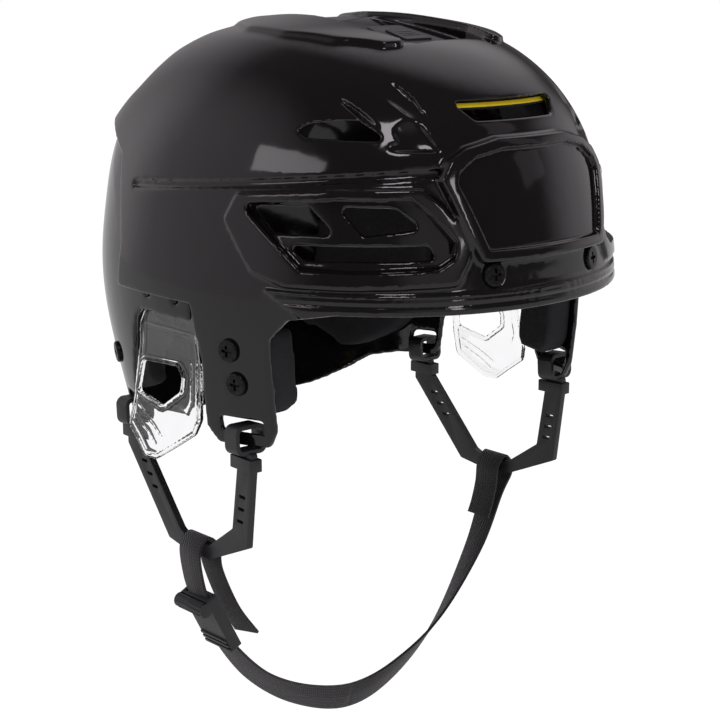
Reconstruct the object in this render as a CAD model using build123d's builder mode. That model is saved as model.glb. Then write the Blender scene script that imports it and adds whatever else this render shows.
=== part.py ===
"""Ice hockey helmet: two telescoping shells, foam liner, ear guards, slings and chin strap.

The front of the helmet faces -Y, the wearer's right side is at -X and +Z is up.
The origin lies in the middle of the head opening, level with the lower edge of the brim.
"""

from build123d import *
import math
import os

os.makedirs("parts", exist_ok=True)

# Driving sizes of the whole helmet
half_width = 115.0
front_reach = 134.0
rear_reach = 141.0
crown_height = 120.5

# Walls and running gaps
front_wall = 3.0
rear_wall = 2.5
shell_gap = 2.9
seat_gap = 0.3
overrun = 20.0
reach = rear_reach + overrun
rear_level = -(front_wall + shell_gap)

# Size adjustment: the rear shell slides this far each way from the middle size
size_travel = 4.5
rack_steps = 6
rack_pitch = 2 * size_travel / rack_steps

# Level sections of the form: height, half width, front reach and rear reach,
# each as a share of the driving size of that name
section_shares = (
    (-0.78, 0.93, 0.88, 0.60),
    (-0.62, 0.965, 0.910, 0.70),
    (-0.498, 0.98, 0.935, 0.775),
    (-0.373, 0.991, 0.955, 0.845),
    (-0.166, 1.0, 0.989, 0.943),
    (0.041, 0.99, 1.0, 0.989),
    (0.249, 0.95, 0.978, 1.0),
    (0.456, 0.90, 0.929, 0.986),
    (0.647, 0.813, 0.851, 0.922),
    (0.797, 0.696, 0.731, 0.801),
    (0.896, 0.570, 0.590, 0.667),
    (0.954, 0.435, 0.433, 0.511),
    (0.983, 0.304, 0.284, 0.355),
    (1.0, 0.157, 0.119, 0.184),
)
square_share = 0.013
egg_share = 0.03
section_steps = 16
search_steps = 40

# Outlines below are shares of the driving sizes: a width goes with the half width, a
# length with the front or the rear reach, and a height with the crown height
# Front shell in the side view
front_outline_shares = (
    (-1.157, 0.0),
    (-0.672, 0.0),
    (-0.522, -0.033),
    (-0.459, -0.116),
    (-0.463, -0.299),
    (-0.459, -0.465),
    (-0.429, -0.527),
    (-0.246, -0.531),
    (-0.201, -0.473),
    (-0.201, -0.224),
    (-0.149, -0.017),
    (0.27, -0.017),
    (0.27, 0.141),
    (0.326, 0.34),
    (0.369, 0.473),
    (0.582, 0.581),
    (0.468, 0.714),
    (0.383, 0.863),
    (0.27, 0.963),
    (0.27, 1.162),
    (-1.157, 1.162),
)
outline_corner = 1.5

# Crown channel, which holds the size button, and the ridges beside it, in plan
channel_shares = ((0.174, -0.511), (0.243, -0.47), (0.27, -0.358), (0.226, -0.134), (0.174, 0.057))
ridge_shares = (
    (0.235, -0.537),
    (0.33, -0.493),
    (0.435, -0.343),
    (0.478, -0.134),
    (0.452, 0.085),
    (0.365, 0.241),
    (0.226, 0.284),
    (0.191, 0.071),
    (0.235, -0.134),
    (0.278, -0.358),
)
ridge_rise = 2.5
ridge_corner = 3.0
channel_slope = 0.228
channel_y = -41.0
channel_z = 109.2
channel_floor = 2.4

# Brow and its recessed forehead panel, in the front view
brow_shares = (
    (0.174, 0.606),
    (0.313, 0.577),
    (0.391, 0.535),
    (0.435, 0.473),
    (0.383, 0.299),
    (0.335, 0.183),
)
panel_shares = ((0.174, 0.568), (0.296, 0.544), (0.365, 0.498), (0.383, 0.456), (0.304, 0.224))
brow_rise = 4.5
brow_corner = 2.0
panel_sink = 2.5

# Bead along the brim, with two grooves
bead_shares = ((-1.157, -0.05), (-0.627, -0.05), (-0.448, 0.075), (-1.157, 0.075))
bead_rise = 1.6
groove_width = 1.2
groove_shares = (0.036, 0.061)

# Front slot, side vents and the wedge facets that lead into them
slot_shares = ((0.27, 0.726), (0.209, 0.66))
vent_shares = (
    (-0.13, 0.627),
    (-0.078, 0.652),
    (0.035, 0.666),
    (0.104, 0.666),
    (0.174, 0.627),
    (0.209, 0.599),
    (-0.087, 0.604),
)
blade_shares = (
    (0.026, 0.863),
    (0.139, 0.83),
    (0.243, 0.784),
    (0.313, 0.73),
    (0.365, 0.664),
    (0.378, 0.606),
    (0.313, 0.668),
    (0.217, 0.73),
)
wedge_shares = (
    (-0.017, 0.772),
    (0.113, 0.697),
    (0.243, 0.602),
    (0.191, 0.61),
    (0.113, 0.672),
    (0.017, 0.739),
)
bowl_shares = (
    (0.174, 0.739),
    (0.252, 0.701),
    (0.322, 0.664),
    (0.417, 0.56),
    (0.183, 0.568),
    (0.257, 0.596),
)
blade_place_shares = ((-0.672, 0.763),)
wedge_place_shares = ((-0.597, 0.685),)
bowl_place_shares = ((-0.754, 0.598),)
blade_ball = 70.0
wedge_ball = 60.0
bowl_ball = 42.0
blade_sink = 1.7
wedge_sink = 1.5
bowl_sink = 2.0
vent_corner = 1.2

# Vent pod at the front corner: its outline, three windows and raised border
pod_shares = (
    (-0.343, 0.369),
    (-0.104, 0.154),
    (0.087, 0.149),
    (0.417, 0.162),
    (0.474, 0.199),
    (0.478, 0.257),
    (0.391, 0.349),
    (0.313, 0.407),
    (0.035, 0.402),
)
window_rear_shares = ((-0.296, 0.357), (-0.078, 0.365), (0.026, 0.27), (-0.209, 0.266))
window_front_shares = ((0.035, 0.369), (0.252, 0.365), (0.348, 0.295), (0.13, 0.27))
window_low_shares = ((-0.165, 0.228), (0.374, 0.237), (0.4, 0.187), (-0.087, 0.178))
border_shares = (
    (-0.409, 0.307),
    (-0.357, 0.224),
    (-0.296, 0.133),
    (-0.165, 0.091),
    (0.104, 0.091),
    (0.487, 0.104),
    (0.53, 0.199),
    (0.526, 0.274),
    (0.426, 0.382),
    (0.348, 0.44),
    (0.017, 0.436),
    (-0.357, 0.402),
)
pod_sink = 5.0
pod_corner = 2.5
border_rise = 2.0
border_corner = 3.0
window_corner = 1.6

# Rail groove round the sides, its middle line in the side view
rail_shares = ((-0.836, 0.491), (0.234, 0.378))
rail_sink = 1.5
rail_width = 3.6

# Fasteners
head_diameter = 10.4
head_height = 2.2
shank_diameter = 4.0
boss_diameter = 13.5
boss_depth = 4.2
seat_sink = 0.5
seat_margin = 0.4
hole_gap = 0.2
nut_flange = 11.0
nut_flange_height = 1.2
nut_barrel = 6.4
nut_height = 4.0
cross_width = 1.3
cross_depth = 1.2
cross_share = 0.5
head_round_share = 0.45
forehead_screw_share = 0.27
forehead_height_share = 0.133
temple_screw_shares = ((-0.321, -0.166), (-0.343, -0.29))
rear_screw_shares = ((0.44, -0.332),)

# Strap slots: the front one is longer, because the sling moves with the rear shell
eye_width = 9.0
slot_height = 6.5
front_eye_y = -46.0
front_eye_z = -60.5
front_slot_floor = -57.5
rear_eye_y = 46.0
rear_eye_z = -66.5
rear_slot_floor = -63.5
slot_margin = 1.8
slot_corner = 1.0

# Rear shell in the side view
rear_outline_shares = (
    (-0.104, 0.332),
    (-0.104, -0.1),
    (0.17, -0.1),
    (0.213, -0.141),
    (0.255, -0.398),
    (0.262, -0.548),
    (0.284, -0.577),
    (0.404, -0.577),
    (0.496, -0.598),
    (0.567, -0.697),
    (1.142, -0.714),
    (1.142, 1.162),
    (-0.015, 1.162),
    (0.0, 0.797),
    (0.113, 0.614),
    (0.085, 0.432),
)
rear_vent_upper_shares = ((0.087, 0.515), (0.296, 0.481), (0.313, 0.407), (0.104, 0.44))
rear_vent_lower_shares = ((0.104, 0.315), (0.348, 0.274), (0.348, 0.207), (0.122, 0.241))
rear_vent_corner = 3.0

# Tongue of the rear shell, with the rack under it, in the side view
tongue_half = 11.0
tongue_height = 1.8
tongue_top = 102.4
tongue_front = -51.5
tongue_bend = -21.0
tongue_root_shares = ((0.043, 0.921), (0.085, 0.921), (0.085, 0.942), (0.014, 0.942))
notch_depth = 1.0
notch_width = 0.9

# Size button, its plate and spring
plate_height = 3.0
plate_roof = 1.2
plate_rim = 1.6
plate_corner = 2.0
plate_rear = -24.0
plate_front = -57.0
plate_half_rear = 10.5
plate_half_front = 16.5
button_half_rear = 7.0
button_half_front = 8.6
button_length = 16.0
button_corner = 1.6
button_proud = 0.9
button_roof = 0.9
button_wall = 1.0
button_gap = 0.35
button_stroke = 1.8
grip_width = 0.8
grip_depth = 0.3
stem_diameter = 5.0
tooth_width = 0.5
tooth_height = 0.9
foot_half = 8.0
foot_length = 11.0
foot_height = 1.0
foot_gap = 0.05
spring_wire = 0.45
spring_diameter = 9.0
spring_turns = 2.5
guide_wall = 2.0
guide_lip = 2.2
guide_front = -56.0
guide_rear = -26.0

# Foam: how far inside the form the pads start and how thick they are
front_pad_level = -(front_wall + seat_gap)
liner_height = 3.0
front_pad_height = 11.0
temple_pad_height = 16.0
rear_pad_level = rear_level - rear_wall - seat_gap
rear_pad_height = 10.0
pad_corner = 5.0
liner_shares = ((0.4, 0.805), (0.4, 0.692))
forehead_pad_shares = ((0.287, 0.465), (0.313, 0.199), (0.296, 0.066))
crown_pad_shares = ((0.33, -0.433), (0.487, -0.373), (0.539, -0.104), (0.348, -0.09))
temple_pad_shares = (
    (-0.44, -0.083),
    (-0.44, -0.365),
    (-0.396, -0.419),
    (-0.224, -0.419),
    (-0.224, -0.083),
)
side_pad_shares = ((-0.418, 0.481), (-0.388, 0.714), (-0.209, 0.73), (-0.179, 0.498))
rear_crown_pad_shares = ((0.261, 0.156), (0.4, 0.284), (0.348, 0.539), (0.174, 0.624))
occipital_pad_shares = ((0.217, -0.647), (0.261, -0.415), (0.322, -0.083), (0.174, 0.0))
rear_pad_shares = (
    (0.298, 0.282),
    (0.312, -0.332),
    (0.397, -0.465),
    (0.511, -0.548),
    (0.567, -0.481),
    (0.681, -0.382),
    (0.695, 0.166),
    (0.596, 0.282),
)

# Clear ear guard: side view, section across it, and the window with its rim
guard_wall = 2.0
guard_corner = 4.0
guard_shares = (
    (0.17, 0.017),
    (0.191, -0.108),
    (0.22, -0.166),
    (0.234, -0.573),
    (0.106, -0.664),
    (0.043, -0.66),
    (-0.134, -0.531),
    (-0.153, -0.473),
    (-0.104, -0.129),
    (-0.06, 0.017),
)
guard_section_shares = (
    (0.889, 0.05),
    (0.889, -0.1),
    (0.892, -0.249),
    (0.922, -0.465),
    (0.957, -0.598),
    (1.0, -0.705),
)
guard_window_shares = (
    (0.191, -0.307),
    (0.0, -0.295),
    (-0.034, -0.332),
    (-0.03, -0.386),
    (0.064, -0.461),
    (0.206, -0.432),
)
guard_window_corner = 2.5
guard_rim = 1.8
guard_rim_rise = 0.9
guard_rib_shares = (0.62, 0.7, 0.78)
rivet_diameter = 4.0
rivet_head = 8.0
rivet_head_height = 1.1
rivet_shares = ((-0.022, -0.025), (0.135, -0.025))

# Sling: a moulded frame that hangs from an eye round the bar below each slot
sling_thickness = 3.4
sling_corner = 3.0
ring_wall = 2.0
ring_half_width = 6.3
ring_half_height = 4.8
front_ring_x = 102.45
rear_ring_x = 97.5
sling_shares = (
    (-0.392, -0.55),
    (-0.392, -0.614),
    (-0.357, -0.929),
    (-0.131, -1.041),
    (0.028, -1.041),
    (0.117, -1.025),
    (0.365, -0.697),
    (0.365, -0.601),
    (0.287, -0.601),
    (0.287, -0.656),
    (0.05, -0.967),
    (0.021, -0.983),
    (-0.131, -0.983),
    (-0.275, -0.871),
    (-0.31, -0.614),
    (-0.31, -0.55),
)
keeper_height = 6.0
keeper_wall = 1.6
keeper_shares = (-0.597, -0.643)
ladder_slot = 1.6
ladder_length = 5.0
ladder_shares = (
    (-0.336, -0.73),
    (-0.328, -0.78),
    (-0.321, -0.83),
    (0.262, -0.747),
    (0.23, -0.793),
    (0.199, -0.838),
)

# Chin strap webbing and its slider
webbing_width = 15.0
webbing_height = 1.3
webbing_y = -7.0
bar_x = 100.3
bar_z = -122.0
bar_radius = 5.6
near_end_shares = ((-0.635, -1.427), (-0.73, -1.286), (-0.803, -1.112))
strap_shares = (
    (-0.901, -1.129),
    (-0.878, -1.22),
    (-0.822, -1.324),
    (-0.748, -1.452),
    (-0.574, -1.643),
    (-0.33, -1.809),
    (-0.052, -1.9),
    (0.209, -1.859),
    (0.487, -1.693),
    (0.73, -1.386),
    (0.843, -1.145),
    (0.894, -1.071),
)
far_end_shares = ((0.805, -1.079), (0.791, -1.162), (0.765, -1.228))
slider_centre_shares = ((-0.822, -1.324),)
slider_lean = math.radians(62.7)
slider_length = 33.0
slider_width = 21.0
slider_height = 6.0
slider_gap = 0.7
slider_corner = 1.2
roll_diameter = 7.0
roll_rise = 5.0
rib_height = 0.8
rib_width = 1.4


def along(share):
    """Length along Y that a share stands for."""
    return share * (rear_reach if share > 0 else front_reach)


def side_points(shares):
    """Outline in the side view."""
    return [(along(y), z * crown_height) for y, z in shares]


def front_points(shares):
    """Outline in the front view, or in the view at the front corner."""
    return [(x * half_width, z * crown_height) for x, z in shares]


def plan_points(shares):
    """Outline seen from above."""
    return [(x * half_width, along(y)) for x, y in shares]


def both_sides(points):
    """A half outline at +X and its mirror image, as one closed outline."""
    return list(points) + [(-x, y) for x, y in reversed(points)]


def mirrored(solid):
    """Mirror image on the other side of the helmet."""
    return solid.mirror(Plane.YZ)


def pair(*solids):
    """Solids on the wearer's left and their mirror images."""
    return list(solids) + [mirrored(solid) for solid in solids]


# Planes of the outlines: side view, front view, plan, and the view at the front corner
corner_turn = math.radians(46)
side_plane = Plane.YZ
front_plane = Plane.XZ
plan_plane = Plane.XY
corner_plane = Plane(
    origin=(0, 0, 0),
    x_dir=(math.cos(corner_turn), -math.sin(corner_turn), 0),
    z_dir=(-math.sin(corner_turn), -math.cos(corner_turn), 0),
)


def outline_point(turn, half, front, rear):
    """Point of a level outline: an oval, a little squared and wider towards the rear."""
    middle = (front + rear) / 2
    lean = (rear - front) / 2
    x = half * (math.cos(turn) - square_share * math.cos(3 * turn)) / (1 - square_share)
    y = (math.sin(turn) + square_share * math.sin(3 * turn)) / (1 - square_share)
    return x * (1 + egg_share * math.sin(turn)), (middle + lean * math.sin(turn)) * y


step_shares = [step / section_steps for step in range(section_steps + 1)]
kept_forms = {}


def form(grow):
    """Smooth solid of the helmet's form, its skin moved outwards by grow."""
    key = round(grow / crown_height, 6)
    if key in kept_forms:
        return kept_forms[key]
    with BuildPart() as solid:
        for height_share, half_share, front_share, rear_share in section_shares:
            height = height_share * crown_height
            if height > 0:
                height += grow * height_share**2
            half = half_share * half_width + grow
            front = front_share * front_reach + grow
            rear = rear_share * rear_reach + grow
            with BuildSketch(Plane.XY.offset(height)):
                with BuildLine():
                    add(
                        Edge.make_spline(
                            [
                                Vector(*outline_point(2 * math.pi * share, half, front, rear))
                                for share in step_shares[:-1]
                            ],
                            periodic=True,
                            parameters=step_shares,
                        )
                    )
                make_face()
        loft()
    kept_forms[key] = solid.part
    return solid.part


def skin_point(height, turn, grow=0.0):
    """Point of the form's skin at a height and a turn about Z, straight between sections."""
    rows = section_shares
    share = height / crown_height
    upper = min(max(index for index in range(len(rows)) if rows[index][0] <= share) + 1, len(rows) - 1)
    low, high = rows[upper - 1], rows[upper]
    part = (share - low[0]) / (high[0] - low[0])
    half, front, rear = (
        (low[column] + (high[column] - low[column]) * part) * size + grow
        for column, size in ((1, half_width), (2, front_reach), (3, rear_reach))
    )
    x, y = outline_point(turn, half, front, rear)
    return Vector(x, y, height)


def skin_plane(height, turn, grow=0.0):
    """Plane that lies on the skin there, its normal pointing outwards and its Y axis upwards."""
    small = math.radians(1)
    rise = crown_height / 100
    point = skin_point(height, turn, grow)
    across = skin_point(height, turn + small, grow) - skin_point(height, turn - small, grow)
    up = skin_point(height + rise, turn, grow) - skin_point(height - rise, turn, grow)
    return Plane(origin=point, x_dir=across, z_dir=across.cross(up))


def turn_at(height, size, axis):
    """Turn about Z, on the wearer's left, where the skin passes this x at the front, or this y."""
    low, high = -math.pi / 2, (0.0 if axis == "x" else math.pi / 2)
    for _ in range(search_steps):
        middle = (low + high) / 2
        point = skin_point(height, middle)
        if (point.X if axis == "x" else point.Y) < size:
            low = middle
        else:
            high = middle
    return low


def block(plane, points, depth, corner=0.0, both=False, margin=0.0):
    """Straight block from a closed outline, its corners rounded, grown by margin."""
    with BuildPart() as solid:
        with BuildSketch(plane) as face:
            with BuildLine():
                Polyline(*points, close=True)
            make_face()
            if corner:
                fillet(face.vertices(), corner)
            if margin:
                offset(amount=margin, kind=Kind.INTERSECTION)
        extrude(amount=depth, both=both)
    return solid.part


def disc(plane, diameter, low, high):
    """Cylinder on a plane's axis, from one height above the plane to another."""
    with BuildPart() as solid:
        with BuildSketch(plane.offset(low)):
            Circle(diameter / 2)
        extrude(amount=high - low)
    return solid.part


def floor_height(y, rise=0.0):
    """Height of a surface that lies this far above the channel's sloping floor."""
    return channel_z + rise + channel_slope * (y - channel_y)


def slab(points, low, high, corner=0.0, margin=0.0):
    """Outline in plan between two heights over the channel's floor; high may be None."""
    ends = (channel_y - half_width, channel_y + half_width)
    strip = [(y, floor_height(y, low)) for y in ends]
    top = crown_height + overrun + half_width
    strip += [(y, top if high is None else floor_height(y, high)) for y in reversed(ends)]
    layer = block(side_plane, strip, half_width, both=True)
    return block(plan_plane, points, top, corner=corner, margin=margin) & layer


# Skins of the front shell
def front_skin(inward):
    """Solid inside the outer skin, or inside the inner skin when inward is the wall."""
    level = -inward
    brow_block = block(
        front_plane, both_sides(front_points(brow_shares)), reach, brow_corner, margin=-inward
    )
    raised = [form(level + brow_rise) & brow_block]
    if not inward:
        ridge = form(ridge_rise) & block(
            plan_plane, plan_points(ridge_shares), crown_height + overrun, ridge_corner
        )
        border = form(border_rise) & block(
            corner_plane, front_points(border_shares), reach, border_corner
        )
        bead = form(bead_rise) & block(side_plane, side_points(bead_shares), reach, both=True)
        raised += [bead, *pair(ridge, border)]
    panel = block(
        front_plane, both_sides(front_points(panel_shares)), reach, brow_corner, margin=inward
    )
    pod = block(corner_plane, front_points(pod_shares), reach, pod_corner, margin=inward)
    floor_drop = -channel_floor if inward else 0.0
    channel = slab(both_sides(plan_points(channel_shares)), floor_drop, None, margin=inward)
    sunk = [panel - form(level + brow_rise - panel_sink), *pair(pod - form(level - pod_sink)), channel]
    with BuildPart() as skin:
        add(form(level))
        add(raised, clean=False)
        add(sunk, mode=Mode.SUBTRACT, clean=False)
    return skin.part


# Places of the fasteners on the wearer's left; each has its twin on the right
forehead_height = forehead_height_share * crown_height
forehead_turn = turn_at(forehead_height, forehead_screw_share * half_width, "x")
forehead_plane = skin_plane(forehead_height, forehead_turn)
temple_planes = [skin_plane(z, turn_at(z, y, "y")) for y, z in side_points(temple_screw_shares)]
rear_planes = [
    skin_plane(z, turn_at(z, y, "y"), rear_level) for y, z in side_points(rear_screw_shares)
]


def screw(plane):
    """Truss head screw with a cross recess, seated on the plane."""
    seat = plane.offset(-seat_sink)
    with BuildPart() as solid:
        with BuildSketch(seat):
            Circle(head_diameter / 2)
        extrude(amount=head_height)
        top = solid.faces().sort_by(Axis(seat.origin, seat.z_dir))[-1]
        fillet(top.edges(), head_height * head_round_share)
        with BuildSketch(seat.offset(head_height)):
            Rectangle(head_diameter * cross_share, cross_width)
            Rectangle(cross_width, head_diameter * cross_share)
        extrude(amount=-cross_depth, mode=Mode.SUBTRACT)
        with BuildSketch(seat):
            Circle(shank_diameter / 2)
        extrude(amount=seat_sink - boss_depth - nut_height)
    return solid.part


def nut(plane):
    """Flanged nut on the inner end of the screw's boss."""
    with BuildPart() as solid:
        with BuildSketch(plane.offset(-boss_depth)):
            Circle(nut_flange / 2)
        extrude(amount=-nut_flange_height)
        with BuildSketch(plane.offset(-boss_depth)):
            RegularPolygon(nut_barrel / 2, 6, major_radius=False)
        extrude(amount=-nut_height)
        with BuildSketch(plane.offset(-boss_depth)):
            Circle(shank_diameter / 2)
        extrude(amount=-nut_height, mode=Mode.SUBTRACT)
    return solid.part


def boss(plane):
    """Boss behind the wall, which gives the nut a flat seat."""
    return disc(plane, boss_diameter, -boss_depth, -seat_sink)


def screw_cut(plane):
    """Flat seat for the head and the hole for the shank."""
    seat = disc(plane, head_diameter + 2 * seat_margin, -seat_sink, head_height)
    return [seat, disc(plane, shank_diameter + 2 * hole_gap, -boss_depth - seat_gap, 0)]


def nut_pocket(plane):
    """Room in the foam for a boss and its nut."""
    return disc(plane, boss_diameter + 2 * seat_gap, -boss_depth - nut_height - seat_gap, 0)


def eye_slot(middle, floor, length):
    """Slot through both side walls for a sling's eye."""
    low, high = middle - length / 2, middle + length / 2
    points = [(low, floor), (high, floor), (high, floor + slot_height), (low, floor + slot_height)]
    return block(side_plane, points, half_width + overrun, slot_corner, both=True)


def groove(line, width, floor):
    """Groove along a line in the side view, down to the skin of the form grown by floor."""
    points = [(y, z + width / 2) for y, z in line] + [(y, z - width / 2) for y, z in reversed(line)]
    return block(side_plane, points, reach, both=True) - form(floor)


def dish(shares, place_shares, radius, depth):
    """Hollow of a ball pressed into the skin on the wearer's right, inside an outline."""
    y, z = side_points(place_shares)[0]
    plane = skin_plane(z, turn_at(z, y, "y"))
    with BuildPart() as ball:
        with Locations(plane.origin + plane.z_dir * (radius - depth)):
            Sphere(radius)
    return block(corner_plane, front_points(shares), reach) & mirrored(ball.part)


# Front shell
front_block = block(side_plane, side_points(front_outline_shares), reach, outline_corner, both=True)
front_slot = block(front_plane, both_sides(front_points(slot_shares)), reach, window_corner)
vent_cuts = [
    block(corner_plane, front_points(shares), reach, corner)
    for shares, corner in (
        (vent_shares, vent_corner),
        (window_rear_shares, window_corner),
        (window_front_shares, window_corner),
        (window_low_shares, window_corner),
    )
]
facets = [
    dish(blade_shares, blade_place_shares, blade_ball, blade_sink),
    dish(wedge_shares, wedge_place_shares, wedge_ball, wedge_sink),
    dish(bowl_shares, bowl_place_shares, bowl_ball, bowl_sink),
]
bead_line = [along(share) for share in (bead_shares[0][0], bead_shares[2][0])]
bead_grooves = [
    groove([(y, share * crown_height) for y in bead_line], groove_width, bead_rise - groove_width)
    for share in groove_shares
]
rail = groove(side_points(rail_shares), rail_width, -rail_sink)
front_eye_length = eye_width + 2 * (size_travel + slot_margin)
stem_plane = Plane(origin=(0, channel_y, 0))
stem_hole = disc(stem_plane, stem_diameter + 2 * seat_gap, tongue_top, crown_height)
front_planes = [forehead_plane, *temple_planes]
outer_skin = front_skin(0.0)
inner_skin = front_skin(front_wall)
front_bosses = [boss(plane) for plane in front_planes]
front_screw_cuts = [cut for plane in front_planes for cut in screw_cut(plane)]
front_cuts = [
    front_slot,
    rail,
    *bead_grooves,
    *pair(*vent_cuts, *facets, *front_screw_cuts),
    eye_slot(front_eye_y, front_slot_floor, front_eye_length),
    stem_hole,
]

with BuildPart() as front_shell:
    add(outer_skin)
    add(inner_skin, mode=Mode.SUBTRACT, clean=False)
    add(front_block, mode=Mode.INTERSECT, clean=False)
    add(pair(*front_bosses), clean=False)
    add(front_cuts, mode=Mode.SUBTRACT, clean=False)

# Rear shell with its tongue and rack
rear_block = block(side_plane, side_points(rear_outline_shares), reach, outline_corner, both=True)
tongue_bottom = tongue_top - tongue_height
root = side_points(tongue_root_shares)
tongue_points = [
    (tongue_front, tongue_bottom),
    (tongue_bend, tongue_bottom),
    *root,
    (tongue_bend, tongue_top),
    (tongue_front, tongue_top),
]
tongue = block(side_plane, tongue_points, tongue_half, both=True)
stem_room = stem_diameter + 2 * seat_gap
tooth_y = channel_y + foot_length / 2 - tooth_width
stem_slot_ends = (channel_y - size_travel, channel_y + size_travel)
with BuildPart() as rack_cut:
    with BuildSketch(Plane.XY.offset(tongue_bottom)):
        with Locations((0, channel_y)):
            SlotCenterToCenter(2 * size_travel, stem_room, rotation=90)
    extrude(amount=tongue_height)
    with BuildSketch(Plane.XY.offset(tongue_bottom)):
        with Locations((0, tooth_y)):
            with GridLocations(0, rack_pitch, 1, rack_steps + 1):
                Rectangle(2 * (foot_half + seat_gap), notch_width)
    extrude(amount=notch_depth)
rear_vents = [
    block(front_plane, front_points(shares), -reach, rear_vent_corner)
    for shares in (rear_vent_upper_shares, rear_vent_lower_shares)
]
rivet_places = [
    Plane(origin=(0, y, z), x_dir=(0, 1, 0), z_dir=(1, 0, 0)) for y, z in side_points(rivet_shares)
]
rear_bosses = [boss(plane) for plane in rear_planes]
rear_screw_cuts = [cut for plane in rear_planes for cut in screw_cut(plane)]
rivet_holes = [disc(plane, rivet_diameter, half_width / 2, half_width) for plane in rivet_places]
rear_cuts = [
    rack_cut.part,
    *pair(*rear_vents, *rear_screw_cuts, *rivet_holes),
    eye_slot(rear_eye_y, rear_slot_floor, eye_width + 2 * slot_margin),
]

with BuildPart() as rear_shell:
    add(form(rear_level))
    add(form(rear_level - rear_wall), mode=Mode.SUBTRACT)
    add(rear_block, mode=Mode.INTERSECT)
    for solid in [tongue, *pair(*rear_bosses)]:
        add(solid)
    for solid in rear_cuts:
        add(solid, mode=Mode.SUBTRACT)

# Size adjuster: plate in the channel, button with its stem and foot, spring, tongue guide
plate_points = both_sides([(plate_half_front, plate_front), (plate_half_rear, plate_rear)])
button_ends = (channel_y - button_length / 2, channel_y + button_length / 2)
button_points = both_sides([(button_half_front, button_ends[0]), (button_half_rear, button_ends[1])])
button_top = plate_height + button_proud
button_under = button_top - button_roof
button_skirt = button_stroke + seat_gap
plate_body = slab(plate_points, 0, plate_height, plate_corner)
plate_room = slab(plate_points, 0, plate_height - plate_roof, plate_corner, -plate_rim)
button_room = slab(button_points, 0, button_top, button_corner, button_gap)
button_body = slab(button_points, button_skirt, button_top, button_corner)
button_hollow = slab(button_points, button_skirt, button_under, button_corner, -button_wall)
grip_half = button_half_rear - 2 * grip_width
grip_lines = [
    slab(
        both_sides([(grip_half, y), (grip_half, y + grip_width)]), button_top - grip_depth, button_top
    )
    for y in (channel_y - grip_width * 4, channel_y - grip_width / 2, channel_y + grip_width * 3)
]

with BuildPart() as adjuster_plate:
    add(plate_body)
    add([plate_room, button_room], mode=Mode.SUBTRACT)

foot_top = tongue_bottom - foot_gap
with BuildPart() as size_button:
    add(button_body)
    add([button_hollow, *grip_lines], mode=Mode.SUBTRACT)
    with BuildSketch(stem_plane.offset(foot_top - foot_height)):
        Circle(stem_diameter / 2)
    extrude(amount=floor_height(channel_y, button_under + button_roof / 2) - foot_top + foot_height)
    with BuildSketch(stem_plane.offset(foot_top)):
        Rectangle(2 * foot_half, foot_length)
    extrude(amount=-foot_height)
    with BuildSketch(Plane.XY.offset(foot_top)):
        with Locations((0, tooth_y)):
            Rectangle(2 * foot_half, tooth_width)
    extrude(amount=tooth_height)

floor_plane = Plane(
    origin=(0, channel_y, channel_z), x_dir=(1, 0, 0), z_dir=(0, -channel_slope, 1)
)
floor_cosine = math.cos(math.atan(channel_slope))
spring_height = button_under * floor_cosine - spring_wire - 2 * foot_gap
spring_pitch = spring_height / spring_turns
spring_radius = (spring_diameter - spring_wire) / 2
spring_base = floor_plane.offset(spring_wire / 2 + foot_gap)
with BuildPart() as button_spring:
    with BuildLine() as coil:
        Helix(
            pitch=spring_pitch,
            height=spring_height,
            radius=spring_radius,
            center=spring_base.origin,
            direction=spring_base.z_dir,
        )
    with BuildSketch(Plane(origin=coil.line @ 0, z_dir=coil.line % 0)):
        Rectangle(spring_wire, spring_wire)
    sweep(is_frenet=True)
print("spring self gap", round(spring_pitch - spring_wire, 3))

lip_top = tongue_bottom - seat_gap
lip_bottom = lip_top - guide_wall
wall_start = tongue_half + seat_gap
guide_top = [(y, floor_height(y, -channel_floor)) for y in (guide_rear, guide_front)]
wall_points = [(guide_front, lip_bottom), (guide_rear, lip_bottom), *guide_top]
lip_points = [
    (guide_front, lip_bottom),
    (guide_rear, lip_bottom),
    (guide_rear, lip_top),
    (guide_front, lip_top),
]
guide_side = block(side_plane.offset(wall_start), wall_points, guide_wall)
guide_side += block(side_plane.offset(wall_start - guide_lip), lip_points, guide_lip)
with BuildPart() as tongue_guide:
    add(pair(guide_side))

# Fasteners
with BuildPart() as forehead_screws:
    add(pair(screw(forehead_plane)))
with BuildPart() as forehead_nuts:
    add(pair(nut(forehead_plane)))
with BuildPart() as temple_screws:
    add(pair(*(screw(plane) for plane in temple_planes)))
with BuildPart() as temple_nuts:
    add(pair(*(nut(plane) for plane in temple_planes)))
with BuildPart() as rear_screws:
    add(pair(*(screw(plane) for plane in rear_planes)))
with BuildPart() as rear_nuts:
    add(pair(*(nut(plane) for plane in rear_planes)))


# Foam pads
def pad(plane, points, depth, level, thickness, margin=0.0):
    """Foam between two skins of the form, inside an outline's block."""
    cutter = block(plane, points, depth, pad_corner, margin=margin)
    return (form(level) & cutter) - form(level - thickness)


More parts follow.
